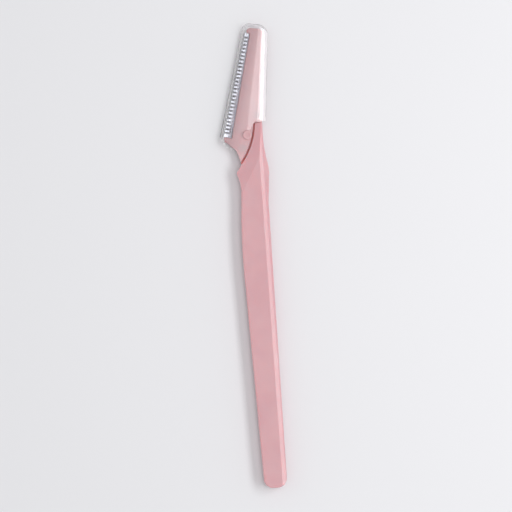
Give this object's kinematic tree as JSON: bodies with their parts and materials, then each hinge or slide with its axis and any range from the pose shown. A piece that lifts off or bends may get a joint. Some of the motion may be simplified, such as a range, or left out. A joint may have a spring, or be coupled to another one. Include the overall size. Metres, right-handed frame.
{
  "type": "eyebrow razor",
  "caption": "Slim disposable eyebrow razor: pink handle with finger stop, slanted head, steel blade behind a fine folded guard comb, and a clear slip-on cap.",
  "frame": {"origin": "on the handle's flat back, in the middle of the handle, at the level of the finger stop", "axes": "+Z from the flat back to the front face, +Y along the handle's spine towards the head, so the blade is on the -X side"},
  "size_m": [0.0177, 0.1491, 0.005],
  "materials": {
    "handle_plastic": "pink moulded plastic, satin gloss",
    "cover_plastic": "pink moulded plastic, satin gloss",
    "blade_steel": "ground stainless steel",
    "guard_steel": "bright rolled stainless sheet",
    "clear_plastic": "clear polished plastic"
  },
  "bodies": {
    "razor": {"handle": "handle_plastic", "head_cover": "cover_plastic", "blade": "blade_steel", "guard_comb": "guard_steel"},
    "cap": {"cap": "clear_plastic"}
  },
  "joints": [
    {"name": "cap_slide", "type": "slide", "parent": "razor", "child": "cap", "axis": [0.2689, 0.9632, 0], "range_m": [0, 0.045]}
  ]
}
